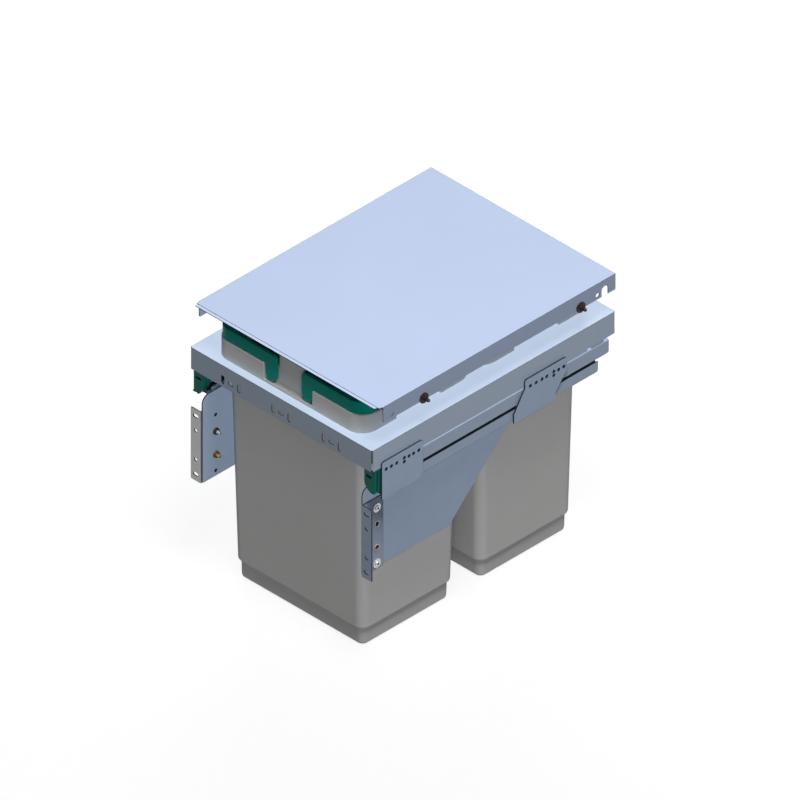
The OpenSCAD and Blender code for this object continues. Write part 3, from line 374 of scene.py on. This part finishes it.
def moulded_plastic(name, hex_colour, rough, specular):
    """Injection-moulded plastic with a spark-eroded grain."""
    material, tree = empty_material(name)
    place = add(tree, "ShaderNodeTexCoord").outputs["Object"]
    grain = {"Scale": 1400.0, "Detail": 2.0}
    grain = add(tree, "ShaderNodeTexNoise", grain, {"Vector": place}).outputs["Fac"]
    flow = {"Scale": 14.0, "Detail": 2.0, "Distortion": 0.6}
    flow = add(tree, "ShaderNodeTexNoise", flow, {"Vector": place}).outputs["Fac"]
    settings = {"IOR": 1.49, "Specular IOR Level": specular}
    surface(tree, hex_colour, 0.93, flow, grain, (rough - 0.06, rough + 0.06), (0.18, 0.04), settings)
    return material


bin_grey = moulded_plastic("grey_moulded_polypropylene", "#c2c2c1", 0.55, 0.16)
handle_green = moulded_plastic("green_moulded_nylon", "#068a7a", 0.42, 0.04)
coupling_green = moulded_plastic("dark_green_moulded_nylon", "#0d7468", 0.45, 0.14)
black_acetal = moulded_plastic("black_moulded_acetal", "#1d1d1f", 0.4, 0.3)
brown_nylon = moulded_plastic("brown_moulded_nylon", "#33211a", 0.45, 0.2)
buffer_rubber = moulded_plastic("black_buffer_rubber", "#161616", 0.8, 0.2)
plastics = (bin_grey, handle_green, coupling_green, black_acetal, brown_nylon, buffer_rubber)
print("plastics:", [finish.name for finish in plastics])

# %% [markdown]
# Screws, studs, pins and rivets are turned or pressed from bar. A lathe leaves fine rings round the axis.
# All of these pieces lie along X or stand along Z, so bands along that axis give the rings. A wave texture
# of scale s has about 3 s bands a metre, so rings 0.5 mm apart need a scale of about 650.

# %% Turned metal


def turned_metal(name, hex_colour, metal, rough, axis):
    """Turned bar with fine tool rings round one axis."""
    material, tree = empty_material(name)
    place = add(tree, "ShaderNodeTexCoord").outputs["Object"]
    rings = {"bands_direction": axis, "Scale": 650.0, "Distortion": 0.4}
    rings = add(tree, "ShaderNodeTexWave", rings, {"Vector": place}).outputs["Fac"]
    # Stains are about 3 mm wide
    stain = add(tree, "ShaderNodeTexNoise", {"Scale": 300.0, "Detail": 3.0}, {"Vector": place}).outputs["Fac"]
    surface(tree, hex_colour, 0.8, stain, rings, (rough, rough + 0.12), (0.2, 0.03), {"Metallic": metal})
    return material


turned_steel = turned_metal("bright_turned_steel", "#dcdde0", 0.8, 0.25, "X")
pin_steel = turned_metal("bright_drawn_pin_steel", "#d4d6d9", 0.8, 0.22, "Z")
turned_brass = turned_metal("turned_brass", "#c9a24c", 0.9, 0.28, "X")
# This dark brass is painted shade in the lower studs' sockets, and it also colours their dark collar.
dark_brass_and_socket_shade = turned_metal("dark_brass_with_socket_shade", "#6b5126", 0.5, 0.4, "X")
# Black oxide is the lid screws' own finish; in the sockets of screws and studs the same dark is painted
# shade.
black_oxide_and_socket_shade = turned_metal("black_oxide_steel_and_socket_shade", "#231f1d", 0.3, 0.38, "X")
turned_metals = (turned_steel, pin_steel, turned_brass, dark_brass_and_socket_shade, black_oxide_and_socket_shade)
print("turned metals:", [finish.name for finish in turned_metals])

# %% [markdown]
# ## Edges
# A computer solid has edges of no width, and nothing real does: a sheared sheet has a fine burr radius, a
# moulding has a rounded rim, and both catch a line of light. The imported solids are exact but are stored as
# loose triangles. For each piece a copy is merged into one closed skin, flat regions are joined into
# single faces, and the sharp edges get a bevel as wide as the real radius. The copy then stands for the
# solid, which stays in the physics model.

# %% Skin helpers
keen_angle = math.radians(38)
merge_distance = 0.002 * MM
flat_angle = math.radians(0.4)


def solid_copy(node):
    """The solid of a node as one merged skin whose flat regions are single faces."""
    skin = bmesh.new()
    skin.from_mesh(nodes[node].data)
    bmesh.ops.remove_doubles(skin, verts=skin.verts, dist=merge_distance)
    bmesh.ops.dissolve_limit(
        skin, angle_limit=flat_angle, use_dissolve_boundaries=False, verts=skin.verts, edges=skin.edges
    )
    for face in skin.faces:
        face.material_index = 0
    return skin


def sharp_edges(skin):
    """The edges whose two faces meet at more than the keen angle."""
    return [e for e in skin.edges if len(e.link_faces) == 2 and e.calc_face_angle(0.0) > keen_angle]


def round_edges(skin, edges, radius, steps=2):
    """Rounds these edges to a radius in millimetres and returns the new faces."""
    return bmesh.ops.bevel(
        skin,
        geom=edges,
        offset=radius * MM,
        offset_type="OFFSET",
        segments=steps,
        profile=0.5,
        affect="EDGES",
        clamp_overlap=False,
        material=-1,
    )["faces"]


def finish_piece(skin, name, node, finishes):
    """Makes the skin an object that stands for the node, with its finishes and smooth rounded edges."""
    for face in skin.faces:
        face.smooth = True
    for edge in skin.edges:
        edge.smooth = True
    for edge in sharp_edges(skin):
        edge.smooth = False
    data = bpy.data.meshes.new(name)
    skin.to_mesh(data)
    open_edges = sum(1 for e in skin.edges if not e.is_manifold)
    volume = skin.calc_volume(signed=True) / MM**3
    skin.free()
    for finish in finishes:
        data.materials.append(finish)
    piece = bpy.data.objects.new(name, data)
    scene.collection.objects.link(piece)
    even = piece.modifiers.new("even_shading", "WEIGHTED_NORMAL")
    even.keep_sharp = True
    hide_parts(node)
    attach(piece, nodes[node]["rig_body"])
    print(f"{name}: {len(data.polygons)} faces, {open_edges} open edges, {volume:.0f} cubic mm")


# %% [markdown]
# Some pieces have more than one finish. A sheet's cut edges are bare and dark, and a screw's socket is
# painted dark as the shade in its recess. Such faces are marked on the merged skin, before the bevel, because
# a bevel with material -1 gives its new faces the finish of their neighbours.

# %% Marking helpers
# A cut edge may be this much wider than the sheet is thick, and its ends this much longer
width_slack, end_slack = 1.05, 1.1


def mark_cut_edges(skin, sheet):
    """Gives finish 1 to a sheet's cut edges: no wider than the sheet, with sharp edges along their length."""
    keen = set(sharp_edges(skin))
    for face in skin.faces:
        width = 2 * face.calc_area() / max(face.calc_perimeter(), 1e-9)
        rim = all(e in keen or e.calc_length() < end_slack * sheet * MM for e in face.edges)
        if rim and width < width_slack * sheet * MM:
            face.material_index = 1


def islands(skin):
    """The separate solids of a skin, each as a list of faces with the y and z of its middle axis."""
    left, found = set(skin.faces), []
    while left:
        group, grow = [], [left.pop()]
        while grow:
            face = grow.pop()
            group.append(face)
            near = {other for edge in face.edges for other in edge.link_faces} & left
            left -= near
            grow.extend(near)
        spots = [v.co for face in group for v in face.verts]
        middle = [(min(s[i] for s in spots) + max(s[i] for s in spots)) / 2 for i in (1, 2)]
        found.append((group, middle))
    return found


def mark_sockets(skin, radius, beyond=0.0):
    """Gives finish 1 to faces within this radius of their solid's axis and further out than beyond, in mm."""
    for group, (y, z) in islands(skin):
        for face in group:
            inside = all(math.hypot(v.co.y - y, v.co.z - z) < radius * MM for v in face.verts)
            if inside and abs(face.calc_center_median().x) > beyond * MM:
                face.material_index = 1


def rounded_piece(node, name, radius, finishes, mark=None, steps=2):
    """A copy of a node with marked faces and with its sharp edges rounded to this radius in millimetres."""
    skin = solid_copy(node)
    if mark:
        mark(skin)
    round_edges(skin, sharp_edges(skin), radius, steps)
    finish_piece(skin, name, node, finishes)


# %% [markdown]
# ## Sheet metal
# Lid, frame, plates, brackets and runner profiles are blanked and folded from coil. Their cut edges are
# marked by the sheet's thickness. The rounded strip along every edge is as dark as the cut steel, which
# gives the thin dark lines that the drawing has round each sheet.
#
# Three kinds of edges are rounded first, to a radius of their own, and their strips are dark too. The lid's
# lip is a shallow fold that isn't sharp, so its fold lines are picked by their angle and length. The mouths
# of the slots in the frame's front are rounded wider, and their dark strip is painted shade for the inside
# of the slots. The drawer rail's upper edge is roll-formed, and its wide dark strip is a painted shadow of
# the frame's skirt above it. Two places get no strip: a bracket's fold ends in short edges where two rounded
# corners meet, and riveted holes are swaged shut.

# %% Edges of sheets
on_face = 0.01 * MM
fold_angles = (0.12, 0.3)
long_fold = 300 * MM
skirt_margin = 3 * MM
fold_corner_x, fold_corner_y, fold_corner_edge = 161.7 * MM, 1.7 * MM, 0.4 * MM


def lip_folds(skin):
    """The long shallow folds of the lid's lip, by their angle in radians."""
    low, high = fold_angles
    folds = [e for e in skin.edges if e.is_manifold and low < e.calc_face_angle(0.0) < high]
    return [e for e in folds if e.calc_length() > long_fold]


def slot_mouth_shade_edges(skin):
    """The outer edges of the slots in the frame's front skirt, clear of its outline; their dark strips are
    painted shade.
    """
    front = min(v.co.y for v in skin.verts) + on_face
    level = [e for e in sharp_edges(skin) if all(v.co.y < front for v in e.verts)]
    heights = [v.co.z for e in level for v in e.verts]
    low, high = min(heights) + skirt_margin, max(heights) - skirt_margin
    return [e for e in level if all(low < v.co.z < high for v in e.verts)]


def rail_top_shade_edges(skin):
    """The long outer edge on top of a drawer rail, whose dark strip is a painted shadow of the frame's skirt.
    """
    outside = max(abs(v.co.x) for v in skin.verts) - on_face
    top = max(v.co.z for v in skin.verts) - on_face
    return [e for e in sharp_edges(skin) if all(abs(v.co.x) > outside and v.co.z > top for v in e.verts)]


def in_fold_corner(edge):
    """True for the short edges where the rounded corners of a bracket's two flanges meet at the fold."""
    near = all(abs(v.co.x) < fold_corner_x and v.co.y < fold_corner_y for v in edge.verts)
    return near and edge.calc_length() < fold_corner_edge


rivets = [middle for _, middle in islands(solid_copy("mounting_plate_rivets"))]
rivet_clear = 4 * MM
print("rivets through the mounting plates:", len(rivets))

# %% Sheets


def sheet_piece(node, name, finish, sheet, radius, first=None, first_radius=0.35, left_out=None, swaged=()):
    """A sheet part with dark cut edges and dark strips along its edges, sizes in millimetres."""
    skin = solid_copy(node)
    mark_cut_edges(skin, sheet)
    # The first edges' strips are dark: painted shade at the frame's slot mouths and on the drawer rails'
    # tops.
    if first:
        for face in round_edges(skin, first(skin), first_radius, 3):
            face.material_index = 1
    keen = [e for e in sharp_edges(skin) if not (left_out and left_out(e))]
    for face in round_edges(skin, keen, radius):
        spot = face.calc_center_median()
        plain = any(math.hypot(spot.y - y, spot.z - z) < rivet_clear for y, z in swaged)
        face.material_index = 0 if plain else 1
    finish_piece(skin, name, node, [finish, cut_steel_and_painted_shade])


sides = ("left", "right")
bracket_finish = {"left": bare_zinc, "right": blue_zinc}
sheet_piece("lid_panel", "lid_sheet", lid_coat, 1.2, 0.35, lip_folds)
sheet_piece("top_frame", "top_frame_sheet", frame_coat, 1.2, 0.35, slot_mouth_shade_edges, 0.8)
for side in sides:
    for place in ("front", "rear"):
        plate = f"{place}_mounting_plate_{side}"
        sheet_piece(plate, plate + "_sheet", plate_zinc, 2.5, 0.5, swaged=rivets)
    plate, bracket = f"side_plate_{side}", f"front_bracket_{side}"
    sheet_piece(plate, plate + "_sheet", plate_zinc, 2.0, 0.45)
    sheet_piece(bracket, bracket + "_sheet", bracket_finish[side], 2.0, 0.45, left_out=in_fold_corner)
    rounded_piece(f"rear_seat_{side}", f"rear_seat_{side}_block", 0.3, [plate_zinc])

# %% Runner profiles
rail_kinds = ("cabinet", "drawer", "middle")
for side in sides:
    cabinet_rail, drawer_rail, middle_rail = (f"{kind}_rail_{side}" for kind in rail_kinds)
    sheet_piece(cabinet_rail, cabinet_rail + "_profile", rail_zinc, 2.0, 0.15)
    sheet_piece(drawer_rail, drawer_rail + "_profile", rail_zinc, 1.5, 0.35, rail_top_shade_edges, 1.0)
    # The middle rail's dark grey is painted shade in the slot between the strips.
    rounded_piece(middle_rail, middle_rail + "_profile", 0.15, [slot_shade_dark_zinc])

# %% [markdown]
# ## Mouldings
# A bin's collar has a rim rounded to 2 mm, which shows as a light line under the handles. Only its outer top
# edge gets it, so the edges are picked by height and by the side that their second face looks to. The other
# edges of a bin are as sharp as a mould can be made, about 0.5 mm.

# %% Bins
collar_top = 72.5 * MM
rim_radius, bin_edge_radius = 2.0, 0.5


def rim_edges(skin, height, middle):
    """The edges at this height between a top face and a wall that looks away from the middle."""
    found = []
    for edge in sharp_edges(skin):
        if any(abs(v.co.z - height) > on_face for v in edge.verts):
            continue
        walls = [f for f in edge.link_faces if abs(f.normal.z) < 0.3]
        tops = [f for f in edge.link_faces if f.normal.z > 0.95]
        if walls and tops and walls[0].normal.xy.dot(edge.verts[0].co.xy - middle.xy) > 0:
            found.append(edge)
    return found


for place in ("front", "rear"):
    box_low, box_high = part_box(f"{place}_bin")
    skin = solid_copy(f"{place}_bin")
    rim = rim_edges(skin, collar_top, (Vector(box_low) + Vector(box_high)) / 2)
    round_edges(skin, rim, rim_radius, 3)
    round_edges(skin, sharp_edges(skin), bin_edge_radius)
    finish_piece(skin, f"{place}_bin_moulding", f"{place}_bin", [bin_grey])
    print("edges in the rim:", len(rim))

# %% [markdown]
# A handle is held in the hand with a full bin on it, so its bar is rounded most, to 1.6 mm in three steps.
# Couplings, levers, ball cages, buffers and bushes are small, and their edges only need to catch the light.

# %% Handles and small mouldings
for place in ("front", "rear"):
    for side in sides:
        handle = f"{place}_bin_handle_{side}"
        rounded_piece(handle, handle + "_moulding", 1.6, [handle_green], steps=3)
for side in sides:
    for part in ("front_coupling", "release_lever"):
        rounded_piece(f"{part}_{side}", f"{part}_{side}_moulding", 0.4, [coupling_green])
    for level in ("lower", "upper"):
        cage = f"{level}_ball_cage_{side}"
        rounded_piece(cage, cage + "_moulding", 0.15, [black_acetal])
rounded_piece("closing_buffers", "closing_buffers_moulding", 0.4, [buffer_rubber])
rounded_piece("lid_bushes", "lid_bushes_moulding", 0.3, [brown_nylon])

# %% [markdown]
# ## Fasteners
# The lid hangs on four black screws. Their free ends carry an M6 thread with ridges 1 mm apart. A real
# thread climbs as a helix, but at this size rings look the same: planes cut the shank into rings, and every
# second ring moves towards the axis.

# %% Lid screws
thread_start, thread_end = 186.0, 192.0
thread_pitch, thread_depth = 1.0, 0.35
fastener_edge = 0.2


def cut_thread(skin, start, end, pitch, depth):
    """Turns ridges into the shanks between two distances from the middle plane, all in millimetres."""
    rings = 2 * round((end - start) / pitch)
    half = (end - start) / rings
    for side_sign in (-1, 1):
        for ring in range(1, rings):
            x = side_sign * (start + ring * half) * MM
            everything = skin.verts[:] + skin.edges[:] + skin.faces[:]
            bmesh.ops.bisect_plane(skin, geom=everything, dist=1e-7, plane_co=(x, 0, 0), plane_no=(1, 0, 0))
    for group, (y, z) in islands(skin):
        for v in {v for face in group for v in face.verts}:
            ring = (abs(v.co.x) / MM - start) / half
            spoke = Vector((0, v.co.y - y, v.co.z - z))
            if 0.5 < ring < rings - 0.5 and abs(ring - round(ring)) < 0.01 and round(ring) % 2:
                v.co -= spoke.normalized() * depth * MM
    return rings


skin = solid_copy("lid_screws")
round_edges(skin, sharp_edges(skin), fastener_edge)
print("rings in the thread:", cut_thread(skin, thread_start, thread_end, thread_pitch, thread_depth))
finish_piece(skin, "lid_screws_turned", "lid_screws", [black_oxide_and_socket_shade])

# %% [markdown]
# The screws of the brackets are bright on pale washers. Their sockets are painted dark as the shade in the
# recess, and the ends that show inside the plate are dark too.

# %% Bracket screws
rounded_piece("bracket_washers", "bracket_washers_turned", 0.25, [bright_zinc])
plate_low, plate_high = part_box("side_plate_right")
plate_inside, plate_outside = plate_low[0] / MM, plate_high[0] / MM
screw_socket_r = 2.2
print("side plate between", round(plate_inside, 2), "and", round(plate_outside, 2))


def mark_screw(skin):
    """Gives finish 1 to a screw's socket and to its end inside the plate."""
    # The dark socket is painted shade.
    mark_sockets(skin, screw_socket_r)
    for face in skin.faces:
        if abs(face.calc_center_median().x) / MM < plate_outside:
            face.material_index = 1


screw_finishes = [bright_zinc, black_oxide_and_socket_shade]
rounded_piece("bracket_screws", "bracket_screws_turned", fastener_edge, screw_finishes, mark_screw)

# %% [markdown]
# The adjusting studs are steel above and brass below. Outside the plate they have a bright head with a
# countersunk socket, painted dark as the shade in the recess. Inside it, the drawing shows a dark collar
# below their pale conical tip.

# %% Adjusting studs
stud_socket_r = 3.2
stud_collar = 4.0
socket_mouth = 1.0
hair = 0.1


def mark_stud(skin):
    """Gives finish 2 to a stud's head, and finish 1 to its socket and its collar inside the plate."""
    for face in skin.faces:
        if abs(face.calc_center_median().x) / MM > plate_outside:
            face.material_index = 2
    # The dark socket is painted shade.
    mark_sockets(skin, stud_socket_r + hair, plate_outside)
    for face in skin.faces:
        x = abs(face.calc_center_median().x) / MM
        if plate_inside - stud_collar - hair < x < plate_inside + hair:
            face.material_index = 1


def socket_mouths(skin, radius):
    """The round edges of this radius in millimetres on the outer ends of the studs."""
    found = []
    for group, (y, z) in islands(skin):
        edges = {e for face in group for e in face.edges}
        outside = max(abs(v.co.x) for e in edges for v in e.verts) - 0.05 * MM
        for edge in edges:
            spread = [abs(math.hypot(v.co.y - y, v.co.z - z) - radius * MM) for v in edge.verts]
            if max(spread) < hair * MM and all(abs(v.co.x) > outside for v in edge.verts):
                found.append(edge)
    return found


for level, finishes in (("upper", [turned_steel, black_oxide_and_socket_shade]), ("lower", [turned_brass, dark_brass_and_socket_shade])):
    studs = level + "_adjusting_studs"
    skin = solid_copy(studs)
    mark_stud(skin)
    mouths = socket_mouths(skin, stud_socket_r)
    print("socket edges:", len(mouths))
    # The rounded mouths are dark too, painted shade that widens the socket.
    for face in round_edges(skin, mouths, socket_mouth):
        face.material_index = 1
    round_edges(skin, sharp_edges(skin), fastener_edge)
    finish_piece(skin, studs + "_turned", studs, [*finishes, bright_zinc])

# %% [markdown]
# The last small pieces hold the runners together. Rivet heads are pressed and the lever pins are cut from
# drawn wire, so both have a fine edge. The balls are polished and have none.

# %% Rivets, pins and balls
rounded_piece("side_plate_rivets", "side_plate_rivets_turned", fastener_edge, [turned_steel])
rounded_piece("mounting_plate_rivets", "mounting_plate_rivets_turned", 0.1, [plate_zinc])
rounded_piece("lever_pins", "lever_pins_drawn", fastener_edge, [pin_steel])
for side in sides:
    for level in ("lower", "upper"):
        balls = f"{level}_balls_{side}"
        finish_piece(solid_copy(balls), balls + "_polished", balls, [bright_zinc])

# %% [markdown]
# ## Which lamp lights what
# The sheets get their ceiling light unblocked, so that lid, frame and side plates are as even as in the
# drawing. The bins and handles are shaded by each other and by the lid, which keeps the bins' insides dark,
# under the lid and when they are pulled out. The fittings are shaded by everything but the lid and the
# frame, so their small holes and slots stay dark.

# %% Light lists
large_sheets = ("lid_sheet", "top_frame_sheet", "side_plate_left_sheet", "side_plate_right_sheet")
meshes = [p for p in scene.collection.all_objects if p.type == "MESH"]
pieces = [p for p in meshes if p is not floor and not p.hide_render]
group_of = {}
for piece in pieces:
    if piece.name in large_sheets:
        group_of[piece.name] = "sheets"
    else:
        group_of[piece.name] = "bins" if "_bin_" in piece.name else "fittings"
for group, lamp in ceiling.items():
    lit = bpy.data.collections.new("lit_" + group)
    blocking = bpy.data.collections.new("shading_" + group)
    for piece in pieces:
        own = group_of[piece.name]
        if own == group:
            lit.objects.link(piece)
        shades_bins = group == "bins" and piece.name == "lid_sheet"
        shades_fittings = group == "fittings" and piece.name not in ("lid_sheet", "top_frame_sheet")
        if own == "bins" or shades_bins or shades_fittings:
            blocking.objects.link(piece)
    lamp.light_linking.receiver_collection = lit
    if group == "sheets":
        lamp.data.use_shadow = False
    else:
        lamp.light_linking.blocker_collection = blocking
    if group == "bins":
        low_softbox.light_linking.receiver_collection = lit
        low_softbox.light_linking.blocker_collection = blocking

# %% [markdown]
# ## Sizes
# The rounded pieces have to fill the same box as the solids that they stand for, so the largest difference
# between the two boxes is printed. Each piece follows the body that its node belongs to.

# %% Sizes
low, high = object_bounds()
misses = [abs(a - b) / MM for a, b in zip([*low, *high], [*cad_low, *cad_high])]
print("largest difference in mm:", round(max(misses), 3))
